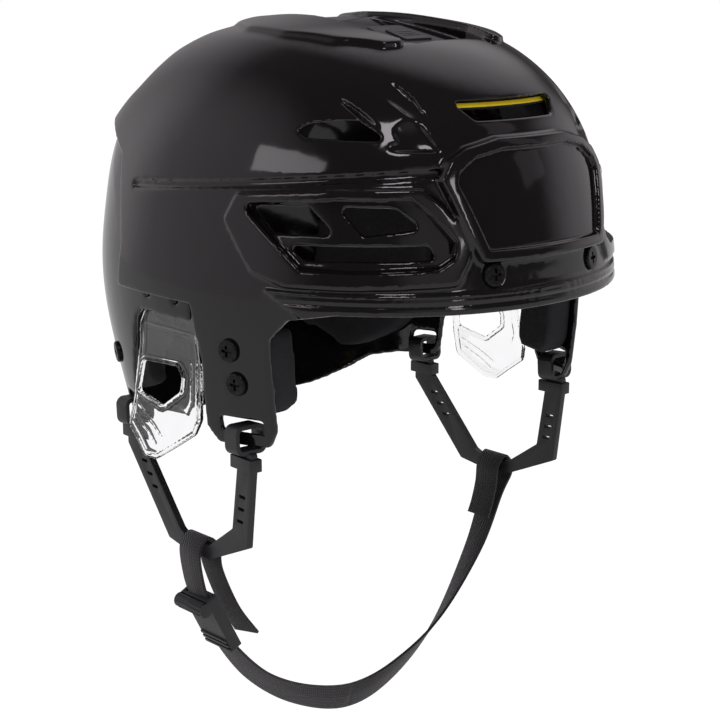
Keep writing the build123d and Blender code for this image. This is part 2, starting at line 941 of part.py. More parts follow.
liner_foam = pad(
    front_plane, both_sides(front_points(liner_shares)), reach, front_pad_level, liner_height
)
forehead_foam = pad(
    front_plane,
    both_sides(front_points(forehead_pad_shares)),
    reach,
    front_pad_level,
    front_pad_height,
)
crown_foam = pad(
    plan_plane, plan_points(crown_pad_shares), crown_height, front_pad_level, front_pad_height
)
temple_foam = pad(
    side_plane, side_points(temple_pad_shares), reach, front_pad_level, temple_pad_height
)
side_foam = pad(side_plane, side_points(side_pad_shares), reach, front_pad_level, front_pad_height)
rear_crown_foam = pad(
    plan_plane,
    both_sides(plan_points(rear_crown_pad_shares)),
    crown_height,
    rear_pad_level,
    rear_pad_height,
)
occipital_foam = pad(
    front_plane,
    both_sides(front_points(occipital_pad_shares)),
    -reach,
    rear_pad_level,
    rear_pad_height,
)
rear_foam = pad(side_plane, side_points(rear_pad_shares), reach, rear_pad_level, rear_pad_height)

with BuildPart() as slot_liner:
    add(liner_foam)
with BuildPart() as forehead_pad:
    add(forehead_foam)
    add(pair(nut_pocket(forehead_plane)), mode=Mode.SUBTRACT)
with BuildPart() as crown_pad_left:
    add(crown_foam)
with BuildPart() as crown_pad_right:
    add(mirrored(crown_pad_left.part))
with BuildPart() as temple_pad_left:
    add(temple_foam)
    add([nut_pocket(plane) for plane in temple_planes], mode=Mode.SUBTRACT)
with BuildPart() as temple_pad_right:
    add(mirrored(temple_pad_left.part))
with BuildPart() as side_pad_left:
    add(side_foam)
with BuildPart() as side_pad_right:
    add(mirrored(side_pad_left.part))
with BuildPart() as rear_crown_pad:
    add(rear_crown_foam)
with BuildPart() as occipital_pad:
    add(occipital_foam)
with BuildPart() as rear_pad_left:
    add(rear_foam)
    add([nut_pocket(plane) for plane in rear_planes], mode=Mode.SUBTRACT)
with BuildPart() as rear_pad_right:
    add(mirrored(rear_pad_left.part))

# Ear guards and the rivets that hold them to the rear shell
guard_line = front_points(guard_section_shares)
guard_inner_x = guard_line[0][0]


def guard_sheet(low, high):
    """Sheet that follows the guard's section, from one height over its inner face to another."""
    points = [(x + low, z) for x, z in guard_line] + [(x + high, z) for x, z in reversed(guard_line)]
    return block(front_plane, points, half_width, both=True)


guard_window = side_points(guard_window_shares)
window_block = block(side_plane, guard_window, reach, guard_window_corner)
rim_block = block(side_plane, guard_window, reach, guard_window_corner, margin=guard_rim)
guard_block = block(side_plane, side_points(guard_shares), reach, guard_corner)
rim = guard_sheet(guard_wall / 2, guard_wall + guard_rim_rise) & rim_block
with BuildPart() as ear_guard_left:
    add(guard_sheet(0, guard_wall) & guard_block)
    add(rim)
    add([window_block, *rivet_holes], mode=Mode.SUBTRACT)
with BuildPart() as ear_guard_right:
    add(mirrored(ear_guard_left.part))


def rivet(plane):
    """Rivet with a head inside the guard, a collar between guard and shell, and a flush end."""
    inner, outer = guard_inner_x, guard_inner_x + guard_wall
    shank = disc(plane, rivet_diameter, inner, half_width) & form(rear_level)
    collar = disc(plane, rivet_head, outer, half_width) & form(rear_pad_level)
    return shank + collar + disc(plane, rivet_head, inner - rivet_head_height, inner)


with BuildPart() as guard_rivets:
    add(pair(*(rivet(plane) for plane in rivet_places)))

# Slings with their eyes and keepers
front_eye = Vector(front_ring_x, front_eye_y, front_eye_z)
rear_eye = Vector(rear_ring_x, rear_eye_y, rear_eye_z)
eye_axis = rear_eye - front_eye
level_axis = Vector(eye_axis.X, eye_axis.Y, 0)
sling_normal = level_axis.cross(Vector(0, 0, 1))
sling_origin = (front_eye + rear_eye) / 2
sling_plane = Plane(
    origin=(sling_origin.X, sling_origin.Y, 0), x_dir=level_axis, z_dir=sling_normal
)


def ring(place):
    """Eye of a sling, round the bar below a slot."""
    with BuildPart() as solid:
        with BuildSketch(Plane(origin=place, x_dir=sling_normal, z_dir=eye_axis)):
            width, height = 2 * ring_half_width, 2 * ring_half_height
            RectangleRounded(width + 2 * ring_wall, height + 2 * ring_wall, 2 * ring_wall)
            RectangleRounded(width, height, ring_wall, mode=Mode.SUBTRACT)
        extrude(amount=eye_width / 2, both=True)
    return solid.part


sling_body = block(
    sling_plane, side_points(sling_shares), sling_thickness / 2, sling_corner / 2, both=True
)
with BuildPart() as ladder_cuts:
    with BuildSketch(sling_plane):
        with Locations(*side_points(ladder_shares)):
            SlotOverall(ladder_length, ladder_slot)
    extrude(amount=sling_thickness, both=True)
with BuildPart() as sling_left:
    add([sling_body, ring(front_eye), ring(rear_eye)])
    add(ladder_cuts.part, mode=Mode.SUBTRACT)
with BuildPart() as sling_right:
    add(mirrored(sling_left.part))

leg_width = along(sling_shares[-1][0]) - along(sling_shares[0][0])
keeper_places = [
    (eye, share * crown_height) for eye, share in zip((front_eye_y, rear_eye_y), keeper_shares)
]
with BuildPart() as keepers_left:
    with BuildSketch(sling_plane):
        with Locations(*keeper_places):
            Rectangle(leg_width + 2 * keeper_wall + ladder_slot, keeper_height)
    extrude(amount=sling_thickness / 2 + keeper_wall, both=True)
    add(sling_left.part, mode=Mode.SUBTRACT)
with BuildPart() as keepers_right:
    add(mirrored(keepers_left.part))


# Chin strap webbing: round the near bar, under the chin and round the far bar
def bar_points(side):
    """Points over the top of a sling's bar, from the inside to the outside."""
    return [
        (
            side * (bar_x + bar_radius * math.cos(math.radians(turn))),
            bar_z + bar_radius * math.sin(math.radians(turn)),
        )
        for turn in (180, 135, 90, 45, 0)
    ]


strap_line = [
    *front_points(near_end_shares),
    *bar_points(-1),
    *front_points(strap_shares),
    *reversed(bar_points(1)),
    *front_points(far_end_shares),
]
with BuildPart() as chin_strap:
    with BuildLine(front_plane.offset(-webbing_y)) as strap_path:
        Spline(*strap_line)
    with BuildSketch(Plane(origin=strap_path.line @ 0, x_dir=(0, 1, 0), z_dir=strap_path.line % 0)):
        Rectangle(webbing_width, webbing_height)
    sweep()
print("webbing length", round(strap_path.edges()[0].length, 1))

# Slider on the near strap
slider_x, slider_z = front_points(slider_centre_shares)[0]
slider_plane = Plane(
    origin=(slider_x, webbing_y, slider_z),
    x_dir=(0, 1, 0),
    z_dir=(-math.sin(slider_lean), 0, -math.cos(slider_lean)),
)
roll_y = (roll_diameter - slider_length) / 2
with BuildPart() as strap_slider:
    with BuildSketch(slider_plane):
        RectangleRounded(slider_width, slider_length, slider_corner)
    extrude(amount=slider_height / 2, both=True)
    roll_plane = Plane(slider_plane.offset(roll_rise).location * Location((0, roll_y, 0)))
    with BuildSketch(Plane(origin=roll_plane.origin, x_dir=slider_plane.z_dir, z_dir=(0, 1, 0))):
        Circle(roll_diameter / 2)
    extrude(amount=slider_width / 2, both=True)
    with BuildSketch(slider_plane.offset(slider_height / 2)):
        with Locations((0, slider_length / 2 - rib_width * 3)):
            with GridLocations(0, 2 * rib_width, 1, 3):
                Rectangle(slider_width - rib_width, rib_width)
    extrude(amount=rib_height)
    with BuildSketch(slider_plane):
        Rectangle(webbing_width + 2 * slider_gap, slider_length)
    extrude(amount=webbing_height / 2 + slider_gap, both=True, mode=Mode.SUBTRACT)

# Labels and files
front_shell.part.label = "front_shell"
export_step(front_shell.part, "parts/front_shell.step")
rear_shell.part.label = "rear_shell"
export_step(rear_shell.part, "parts/rear_shell.step")
adjuster_plate.part.label = "adjuster_plate"
export_step(adjuster_plate.part, "parts/adjuster_plate.step")
size_button.part.label = "size_button"
export_step(size_button.part, "parts/size_button.step")
button_spring.part.label = "button_spring"
export_step(button_spring.part, "parts/button_spring.step")
tongue_guide.part.label = "tongue_guide"
export_step(tongue_guide.part, "parts/tongue_guide.step")
forehead_screws.part.label = "forehead_screws"
export_step(forehead_screws.part, "parts/forehead_screws.step")
forehead_nuts.part.label = "forehead_nuts"
export_step(forehead_nuts.part, "parts/forehead_nuts.step")
temple_screws.part.label = "temple_screws"
export_step(temple_screws.part, "parts/temple_screws.step")
temple_nuts.part.label = "temple_nuts"
export_step(temple_nuts.part, "parts/temple_nuts.step")
rear_screws.part.label = "rear_screws"
export_step(rear_screws.part, "parts/rear_screws.step")
rear_nuts.part.label = "rear_nuts"
export_step(rear_nuts.part, "parts/rear_nuts.step")
slot_liner.part.label = "slot_liner"
export_step(slot_liner.part, "parts/slot_liner.step")
forehead_pad.part.label = "forehead_pad"
export_step(forehead_pad.part, "parts/forehead_pad.step")
crown_pad_left.part.label = "crown_pad_left"
export_step(crown_pad_left.part, "parts/crown_pad_left.step")
crown_pad_right.part.label = "crown_pad_right"
export_step(crown_pad_right.part, "parts/crown_pad_right.step")
temple_pad_left.part.label = "temple_pad_left"
export_step(temple_pad_left.part, "parts/temple_pad_left.step")
temple_pad_right.part.label = "temple_pad_right"
export_step(temple_pad_right.part, "parts/temple_pad_right.step")
side_pad_left.part.label = "side_pad_left"
export_step(side_pad_left.part, "parts/side_pad_left.step")
side_pad_right.part.label = "side_pad_right"
export_step(side_pad_right.part, "parts/side_pad_right.step")
rear_crown_pad.part.label = "rear_crown_pad"
export_step(rear_crown_pad.part, "parts/rear_crown_pad.step")
occipital_pad.part.label = "occipital_pad"
export_step(occipital_pad.part, "parts/occipital_pad.step")
rear_pad_left.part.label = "rear_pad_left"
export_step(rear_pad_left.part, "parts/rear_pad_left.step")
rear_pad_right.part.label = "rear_pad_right"
export_step(rear_pad_right.part, "parts/rear_pad_right.step")
ear_guard_left.part.label = "ear_guard_left"
export_step(ear_guard_left.part, "parts/ear_guard_left.step")
ear_guard_right.part.label = "ear_guard_right"
export_step(ear_guard_right.part, "parts/ear_guard_right.step")
guard_rivets.part.label = "guard_rivets"
export_step(guard_rivets.part, "parts/guard_rivets.step")
sling_left.part.label = "sling_left"
export_step(sling_left.part, "parts/sling_left.step")
sling_right.part.label = "sling_right"
export_step(sling_right.part, "parts/sling_right.step")
keepers_left.part.label = "keepers_left"
export_step(keepers_left.part, "parts/keepers_left.step")
keepers_right.part.label = "keepers_right"
export_step(keepers_right.part, "parts/keepers_right.step")
chin_strap.part.label = "chin_strap"
export_step(chin_strap.part, "parts/chin_strap.step")
strap_slider.part.label = "strap_slider"
export_step(strap_slider.part, "parts/strap_slider.step")
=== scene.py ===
# %% [markdown]
# # An ice hockey helmet, dressed for a studio picture
# The measured model gives every part its place. Here each part gets the look of the real
# one: deep black gloss on the shells, satin on the slings, clear plastic on the ear guards,
# matt foam inside and a woven strap under the chin. Everything is in metres.

import bmesh
import bpy
import contextlib
import math
from mathutils import Matrix, Vector


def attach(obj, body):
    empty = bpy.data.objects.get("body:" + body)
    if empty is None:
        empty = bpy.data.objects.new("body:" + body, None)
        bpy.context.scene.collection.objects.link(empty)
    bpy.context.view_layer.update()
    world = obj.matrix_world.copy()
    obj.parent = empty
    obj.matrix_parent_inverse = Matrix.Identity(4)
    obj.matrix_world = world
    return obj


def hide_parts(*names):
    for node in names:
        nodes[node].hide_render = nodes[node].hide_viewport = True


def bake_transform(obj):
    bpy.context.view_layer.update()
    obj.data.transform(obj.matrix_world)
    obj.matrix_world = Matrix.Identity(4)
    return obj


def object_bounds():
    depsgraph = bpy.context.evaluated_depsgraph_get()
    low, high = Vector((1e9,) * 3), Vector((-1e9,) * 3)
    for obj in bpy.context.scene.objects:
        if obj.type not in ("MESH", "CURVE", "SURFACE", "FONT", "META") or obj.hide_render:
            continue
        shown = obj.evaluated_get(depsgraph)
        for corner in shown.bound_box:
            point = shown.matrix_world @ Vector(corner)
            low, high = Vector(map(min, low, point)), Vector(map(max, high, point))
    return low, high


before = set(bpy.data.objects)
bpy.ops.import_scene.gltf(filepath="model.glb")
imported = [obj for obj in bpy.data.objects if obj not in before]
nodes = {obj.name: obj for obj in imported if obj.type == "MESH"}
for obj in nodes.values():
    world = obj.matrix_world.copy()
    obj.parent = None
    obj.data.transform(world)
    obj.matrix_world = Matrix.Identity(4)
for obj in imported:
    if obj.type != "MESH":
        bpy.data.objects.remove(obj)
cad_box = [list(map(float, corner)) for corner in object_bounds()]
mm = 0.001
print("nodes", len(nodes), "box", [[round(value, 4) for value in corner] for corner in cad_box])

# %% [markdown]
# ## Shader sums as plain Python
# Every finish is a few sums on noise and wave values. A small class wraps an output socket,
# so that such a sum reads like arithmetic. One method adds any node: its settings first,
# then the values or links of its sockets. The world's light is written the same way.


# %% A wire, and the trees that add nodes
class Wire:
    """One value in a node tree, with the operators that add a Math node."""

    def __init__(self, tree, socket):
        self.tree = tree
        self.socket = socket

    def sum(self, operation, *values):
        return self.tree.add("ShaderNodeMath", {"operation": operation}, dict(enumerate(values)))

    def __add__(self, other):
        return self.sum("ADD", self, other)

    __radd__ = __add__

    def __sub__(self, other):
        return self.sum("SUBTRACT", self, other)

    def __rsub__(self, other):
        return self.sum("SUBTRACT", other, self)

    def __mul__(self, other):
        return self.sum("MULTIPLY", self, other)

    __rmul__ = __mul__

    def __pow__(self, power):
        return self.sum("POWER", self, power)

    def shaped(self, operation):
        """The value through an operation of one input, such as SINE or ABSOLUTE."""
        return self.sum(operation, self)


class Tree:
    """The nodes of a material or of the world."""

    def __init__(self, owner):
        owner.use_nodes = True
        self.nodes = owner.node_tree.nodes
        self.links = owner.node_tree.links

    def add(self, kind, settings=None, sockets=None, output=0):
        """A node of any kind: its settings, then its sockets, and a wire from one output."""
        node = self.nodes.new(kind)
        for key, value in (settings or {}).items():
            setattr(node, key, value)
        for key, value in (sockets or {}).items():
            self.feed(node.inputs[key], value)
        return Wire(self, node.outputs[output])

    def feed(self, socket, value):
        if isinstance(value, Wire):
            self.links.new(value.socket, socket)
        else:
            socket.default_value = value

    def blend(self, share, low, high):
        """A colour between two, by a share."""
        sockets = {"Factor": share, 6: low, 7: high}
        return self.add("ShaderNodeMix", {"data_type": "RGBA"}, sockets, output=2)

    def ray(self, kind):
        """1 for rays of a kind, such as Camera or Glossy, and 0 for all others."""
        return self.add("ShaderNodeLightPath", output=f"Is {kind} Ray")


class Finish(Tree):
    """A material in the making, with its Principled shader."""

    def __init__(self, name, **sockets):
        self.material = bpy.data.materials.new(name)
        super().__init__(self.material)
        self.shader = self.nodes["Principled BSDF"]
        self.wear(**sockets)
        print("finish", name)

    def wear(self, **sockets):
        """Sets or links the shader's own sockets; an underline stands for a space."""
        for key, value in sockets.items():
            self.feed(self.shader.inputs[key.replace("_", " ")], value)

    def place(self):
        """Where a point lies on the object."""
        return self.add("ShaderNodeTexCoord", output="Object")

    def noise(self, scale, detail=3.0, rough=0.5):
        """Soft random values; a scale of 100 gives spots about 10 mm wide."""
        sockets = {"Vector": self.place(), "Scale": scale, "Detail": detail, "Roughness": rough}
        return self.add("ShaderNodeTexNoise", None, sockets)

    def bump(self, height, depth, strength):
        """Raises the surface by a height, whose full range is this many metres deep."""
        sockets = {"Height": height, "Distance": depth, "Strength": strength}
        self.wear(Normal=self.add("ShaderNodeBump", None, sockets))


# %% [markdown]
# ## The finishes
# Moulded gloss is nearly black, slightly warm, and gets its depth from a clear sharp
# reflection that fine handling marks soften in places. Satin plastic has a fine grain.
# Clear plastic is tinted only by its thickness. Foam is matt and speckled, and the strip
# behind the front slot is yellow in one narrow band of its height; outside that band it is
# painted dark, as painted shade under the slot's rim.

# %% Gloss black of the shells
gloss = Finish("shell_gloss", IOR=1.47, Coat_IOR=1.45, Coat_Roughness=0.04)
handling = gloss.noise(28.0, 5.0, 0.6)
ripple = gloss.noise(60.0, 2.0, 0.4)
gloss.wear(
    Base_Color=gloss.blend(handling, (0.0032, 0.0028, 0.003, 1), (0.006, 0.0052, 0.0055, 1)),
    Roughness=0.07 + 0.1 * handling**3,
    Coat_Weight=0.15,
)
gloss.bump(ripple, depth=0.03 * mm, strength=0.25)

# %% Satin black of the slings, slider and trim
satin = Finish("satin_black", IOR=1.5)
grain = satin.noise(2200.0, 2.0, 0.6)
rubbed = satin.noise(90.0, 4.0, 0.6)
satin.wear(
    Base_Color=satin.blend(rubbed, (0.007, 0.007, 0.0085, 1), (0.016, 0.016, 0.018, 1)),
    Roughness=0.3 + 0.22 * rubbed + 0.05 * grain,
)
satin.bump(grain, depth=0.04 * mm, strength=0.4)


# %% Dark foam of the pads
def foam_finish(name):
    """Closed cell foam with fine pits, still without its colour."""
    foam = Finish(name, IOR=1.4)
    cells = foam.add("ShaderNodeTexVoronoi", None, {"Scale": 900.0, "Vector": foam.place()})
    foam.wear(Roughness=0.78 + 0.15 * cells)
    foam.bump(cells, depth=0.18 * mm, strength=0.6)
    return foam


dark_foam = foam_finish("foam_dark")
drift = dark_foam.noise(45.0, 4.0, 0.6)
dark_foam.wear(
    Base_Color=dark_foam.blend(drift, (0.009, 0.009, 0.01, 1), (0.02, 0.02, 0.022, 1))
)

# %% Foam of the front slot's strip: yellow in one band, painted dark as shade outside it
band_low, band_high = 84.6 * mm, 86.3 * mm
yellow_foam_painted_shade = foam_finish("foam_yellow_painted_shade")
height = yellow_foam_painted_shade.add(
    "ShaderNodeSeparateXYZ", None, {"Vector": yellow_foam_painted_shade.place()}, output="Z"
)
unshaded_band = height.sum("GREATER_THAN", height, band_low) * height.sum("LESS_THAN", height, band_high)
dye = yellow_foam_painted_shade.blend(yellow_foam_painted_shade.noise(45.0), (0.62, 0.47, 0.006, 1), (0.8, 0.62, 0.012, 1))
# Outside the band the strip is painted dark: above the band this is painted shade under the
# slot's rim, and the same dark is used below it.
yellow_foam_painted_shade.wear(Base_Color=yellow_foam_painted_shade.blend(unshaded_band, (0.012, 0.012, 0.013, 1), dye))

# %% Clear plastic of the ear guards
clear = Finish("guard_clear", IOR=1.45, Transmission_Weight=1.0)
haze = clear.noise(70.0, 4.0, 0.6)
clear.wear(
    Base_Color=clear.blend(haze, (0.95, 0.95, 0.96, 1), (0.86, 0.86, 0.87, 1)),
    Roughness=0.01 + 0.03 * haze,
)
clear.bump(haze, depth=0.03 * mm, strength=0.3)

# %% Black screws and bare spring wire
blacked = Finish("blacked_steel", Metallic=0.85)
scuff = blacked.noise(700.0, 4.0, 0.65)
blacked.wear(
    Base_Color=blacked.blend(scuff**4, (0.012, 0.012, 0.013, 1), (0.12, 0.12, 0.125, 1)),
    Roughness=0.24 + 0.2 * scuff,
)
wire_steel = Finish("spring_wire", Metallic=1.0)
drawn = wire_steel.noise(1500.0, 3.0, 0.6)
wire_steel.wear(
    Base_Color=wire_steel.blend(drawn, (0.35, 0.35, 0.36, 1), (0.6, 0.6, 0.62, 1)),
    Roughness=0.22 + 0.15 * drawn,
)

# %% [markdown]
# ## Woven strap
# Polypropylene webbing shows short diagonal ribs across its width and a rounded edge on
# each side. The pattern follows the strap's own UV map, which is in metres, so that the
# ribs turn with the strap where it twists.

# %% Webbing finish
rib_pitch = 1.5 * mm
full_turn = 2 * math.pi / rib_pitch
webbing = Finish("webbing_black", IOR=1.45, Sheen_Weight=0.25, Sheen_Roughness=0.5)
woven = webbing.add("ShaderNodeUVMap", {"uv_map": "strap"})
across = webbing.add("ShaderNodeSeparateXYZ", None, {"Vector": woven})
along = Wire(webbing, across.socket.node.outputs["Y"])
ribs = (along * full_turn + across.shaped("ABSOLUTE") * (0.9 * full_turn)).shaped("SINE")
strands = (across * (0.8 * full_turn)).shaped("SINE")
weave = ribs * 0.35 + strands * 0.15 + 0.5
fibres = webbing.noise(2600.0, 3.0, 0.7)
webbing.wear(
    Base_Color=webbing.blend(weave * fibres, (0.003, 0.003, 0.0035, 1), (0.02, 0.02, 0.022, 1)),
    Roughness=0.62 + 0.25 * fibres,
)
webbing.bump(weave * 0.8 + fibres * 0.2, depth=0.35 * mm, strength=0.8)

# %% [markdown]
# ## From hard solids to moulded ones
# The measured solids have sharp edges and flat facets, and a glossy surface shows both.
# A moulded part has neither. A copy of each is merged, turned into an even skin of small
# faces, and relaxed. That rounds each edge by about the radius that a mould would give it.


# %% Helpers for any piece
@contextlib.contextmanager
def opened(data):
    """A mesh opened for bmesh operators, written back and freed at the end."""
    mesh = bmesh.new()
    mesh.from_mesh(data)
    yield mesh
    mesh.to_mesh(data)
    mesh.free()


def show(name, data):
    """A new object in the scene."""
    piece = bpy.data.objects.new(name, data)
    bpy.context.scene.collection.objects.link(piece)
    return piece


def modify(piece, kind, **settings):
    """Adds a modifier with its settings."""
    modifier = piece.modifiers.new(kind.lower(), kind)
    for key, value in settings.items():
        setattr(modifier, key, value)


def settle(piece):
    """Applies the piece's modifiers and shades it smooth."""
    grown = piece.evaluated_get(bpy.context.evaluated_depsgraph_get())
    mesh = bpy.data.meshes.new_from_object(grown)
    piece.modifiers.clear()
    piece.data = mesh
    mesh.shade_smooth()


def paint(piece, finish):
    """Gives a piece one finish."""
    piece.data.materials.clear()
    piece.data.materials.append(finish.material)


# %% Helpers for copies of measured nodes
weld_distance = 0.002 * mm
smooth_factor = 0.5
last_passes = 4
bar_sides = 8
flat_angle, sharp_angle = math.radians(1), math.radians(35)


def merged_copy(node, name):
    """A copy of a measured node with its loose triangles joined."""
    piece = show(name, nodes[node].data.copy())
    with opened(piece.data) as mesh:
        bmesh.ops.remove_doubles(mesh, verts=mesh.verts, dist=weld_distance)
        bmesh.ops.recalc_face_normals(mesh, faces=mesh.faces)
    return piece


def dressed(piece, node, finish):
    """Gives a settled copy its finish and lets it stand for the measured node."""
    paint(piece, finish)
    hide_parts(node)
    print(piece.name, "faces", len(piece.data.polygons))
    return piece


def join_beads(piece, beads):
    """Adds a bar along each line of points, to be taken up by the even skin."""
    with opened(piece.data) as mesh:
        for radius, line, closed in beads:
            spots = [Vector(point) * mm for point in line]
            if closed:
                spots.append(spots[0])
            for start, end in zip(spots, spots[1:]):
                way = end - start
                turn = way.to_track_quat("Z", "Y").to_matrix().to_4x4()
                bmesh.ops.create_cone(
                    mesh,
                    cap_ends=True,
                    segments=bar_sides,
                    radius1=radius * mm,
                    radius2=radius * mm,
                    depth=way.length + radius * mm,
                    matrix=Matrix.Translation((start + end) / 2) @ turn,
                )


def moulded(node, name, voxel, relax, finish, most=None, beads=(), work=None):
    """Rounded copy of a node: an even skin, relaxed and worked on.

    Where most is given, the copy keeps about that many triangles.
    """
    piece = merged_copy(node, name)
    if beads:
        join_beads(piece, beads)
    modify(piece, "REMESH", mode="VOXEL", voxel_size=voxel)
    modify(piece, "SMOOTH", factor=smooth_factor, iterations=relax)
    settle(piece)
    if work:
        work(piece)
    triangles = 2 * len(piece.data.polygons)
    if most and triangles > most:
        modify(piece, "DECIMATE", ratio=most / triangles)
        modify(piece, "SMOOTH", factor=smooth_factor, iterations=last_passes)
        settle(piece)
    return dressed(piece, node, finish)


def eased(node, name, radius, finish):
    """Crisp copy of a node with its edges rounded to a small radius."""
    piece = merged_copy(node, name)
    with opened(piece.data) as mesh:
        bmesh.ops.dissolve_limit(
            mesh, angle_limit=flat_angle, verts=mesh.verts, edges=mesh.edges
        )
    modify(
        piece,
        "BEVEL",
        width=radius,
        segments=3,
        limit_method="ANGLE",
        angle_limit=sharp_angle,
        use_clamp_overlap=True,
    )
    modify(piece, "WEIGHTED_NORMAL", keep_sharp=True)
    settle(piece)
    return dressed(piece, node, finish)


# %% [markdown]
# ## Shells
# Both shells keep their measured form. The front one carries the ridges, the brow and the
# vent pods, so it gets the finer skin. Then its crown is worked on: the ridges' outer sides
# are smoothed into the dome, and the crown between them is sunk. Each share of that rises
# over a stretch, which is given as its start and its width in millimetres.

# %% Crown of the front shell
beside_x, beside_y, beside_z = (34, 9), (-54, 12), (80, 12)
behind_y, behind_z = (18, 10), (98, 8)
least_weight = 0.01
blend_passes = 90
sunk_z = (110.5, 12)
crown_depth, middle_depth, middle_width = 1.6, 1.9, 17


def step_up(value, start, width):
    """Rises smoothly from 0 at the start to 1 a width further."""
    share = min(max((value - start) / width, 0.0), 1.0)
    return share * share * (3 - 2 * share)


def work_crown(piece):
    """Blends the ridges' outer sides into the dome and sinks the crown between them."""
    soft = piece.vertex_groups.new(name="soft")
    for vertex in piece.data.vertices:
        x, y, z = (value / mm for value in vertex.co)
        side = step_up(abs(x), *beside_x) * step_up(z, *beside_z) * step_up(y, *beside_y)
        back = step_up(y, *behind_y) * step_up(z, *behind_z)
        weight = max(side, back)
        if weight > least_weight:
            soft.add([vertex.index], weight, "REPLACE")
    modify(
        piece, "SMOOTH", vertex_group="soft", factor=smooth_factor, iterations=blend_passes
    )
    settle(piece)
    piece.vertex_groups.clear()
    for vertex in piece.data.vertices:
        x, y, z = (value / mm for value in vertex.co)
        sink = crown_depth + middle_depth * math.exp(-((x / middle_width) ** 2))
        vertex.co.z -= step_up(z, *sunk_z) * sink * mm


# %% Front and rear shell
front_skin = moulded(
    "front_shell",
    "front_shell_skin",
    voxel=0.62 * mm,
    relax=14,
    finish=gloss,
    most=190000,
    work=work_crown,
)
rear_skin = moulded(
    "rear_shell", "rear_shell_skin", voxel=0.9 * mm, relax=10, finish=gloss, most=120000
)
for piece, body in ((front_skin, "front"), (rear_skin, "rear")):
    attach(piece, body)

# %% [markdown]
# ## Size button and fasteners
# The button and its plate are satin trim. The spring keeps its measured place and gets a
# finish of bare wire. Screws, nuts and rivets keep their measured meshes, which are crisp
# enough, and only get their finish.

# %% Size button, its plate, guide and spring
for node, body in (("adjuster_plate", "front"), ("size_button", "button")):
    piece = eased(node, node + "_trim", 0.3 * mm, satin)
    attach(piece, body)
paint(nodes["tongue_guide"], satin)
coil = dressed(merged_copy("button_spring", "button_spring_coil"), "button_spring", wire_steel)
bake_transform(coil)

# %% Fasteners
fasteners = ["guard_rivets"]
for place in ("forehead", "temple", "rear"):
    fasteners += [place + "_screws", place + "_nuts"]
for node in fasteners:
    paint(nodes[node], blacked)
print("fastener nodes", len(fasteners))

# %% [markdown]
# ## Foam
# The pads are cut foam with a soft roll at their edges. The relaxing rounds them and draws
# in their sides, as foam that is pressed into a shell does.

# %% Pads
pads = {
    "front": (
        "forehead_pad",
        "crown_pad_left",
        "crown_pad_right",
        "temple_pad_left",
        "temple_pad_right",
        "side_pad_left",
        "side_pad_right",
    ),
    "rear": ("rear_crown_pad", "occipital_pad", "rear_pad_left", "rear_pad_right"),
}
for body, names in pads.items():
    for node in names:
        piece = moulded(node, node + "_foam", voxel=1.6 * mm, relax=14, finish=dark_foam)
        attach(piece, body)
strip = moulded("slot_liner", "slot_liner_foam", voxel=1.0 * mm, relax=4, finish=yellow_foam_painted_shade)
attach(strip, "front")

# %% [markdown]
# ## Ear guards
# Each guard is one clear moulding. Its rounded edges and raised lines catch the light, which
# is most of what the eye sees of it. The lines are laid on as bars before the even skin is
# made, so that they grow out of the face. The guard leans outwards as it goes down: its
# section is given as pairs of x and z, and each line as pairs of y and z, in millimetres.

# %% Lines of the guards
guard_section = ((102.2, -12), (102.6, -30), (106.0, -56), (110.0, -72), (115.0, -85))
face_out = 2.0
bar_length = 4
rim_line = (
    (28.5, -20),
    (30.5, -67),
    (14.5, -77.2),
    (6.5, -76.8),
    (-16, -62.2),
    (-18, -56.5),
    (-12.5, -20),
)
window_line = ((-10.5, -33), (-12.5, -50), (-10.5, -55))
upper_rib = ((28, -59), (14, -64.5), (6, -69))
lower_rib = ((28, -63.5), (16, -68.5), (9, -73))
guard_lines = (
    (0.62, rim_line, True),
    (0.5, window_line, False),
    (0.5, upper_rib, False),
    (0.5, lower_rib, False),
)


def on_guard(y, z, sign):
    """Place on a guard's outer face for a y and a z, in millimetres."""
    for (x_high, z_high), (x_low, z_low) in zip(guard_section, guard_section[1:]):
        if z >= z_low:
            share = (z - z_low) / (z_high - z_low)
            return (sign * (x_low + (x_high - x_low) * share + face_out), y, z)


def guard_beads(side):
    """Each raised line as its radius, its places on the face, and whether it closes."""
    sign = 1 if side == "left" else -1
    beads = []
    for radius, line, closed in guard_lines:
        fine = []
        ends = line[1:] + line[:1] if closed else line[1:]
        for (y0, z0), (y1, z1) in zip(line, ends):
            steps = max(1, round(math.hypot(y1 - y0, z1 - z0) / bar_length))
            for step in range(steps):
                share = step / steps
                fine.append(on_guard(y0 + (y1 - y0) * share, z0 + (z1 - z0) * share, sign))
        if not closed:
            fine.append(on_guard(*line[-1], sign))
        beads.append((radius, fine, closed))
    return beads


# %% Guards
for side in ("left", "right"):
    node = "ear_guard_" + side
    guard = moulded(
        node,
        node + "_clear",
        voxel=0.42 * mm,
        relax=5,
        finish=clear,
        most=60000,
        beads=guard_beads(side),
    )
    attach(guard, "rear")

# %% [markdown]
# ## Slings, keepers and slider
# These are satin mouldings with small radii, so a bevel keeps them crisp. The slider's thumb
# roll has fine grip ribs, which are thin bars half sunk in it.

# %% Slings and slider
for side in ("left", "right"):
    for node in ("sling_" + side, "keepers_" + side):
        piece = eased(node, node + "_satin", 0.45 * mm, satin)
        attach(piece, "sling_" + side)
slider = eased("strap_slider", "strap_slider_satin", 0.5 * mm, satin)
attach(slider, "slider")

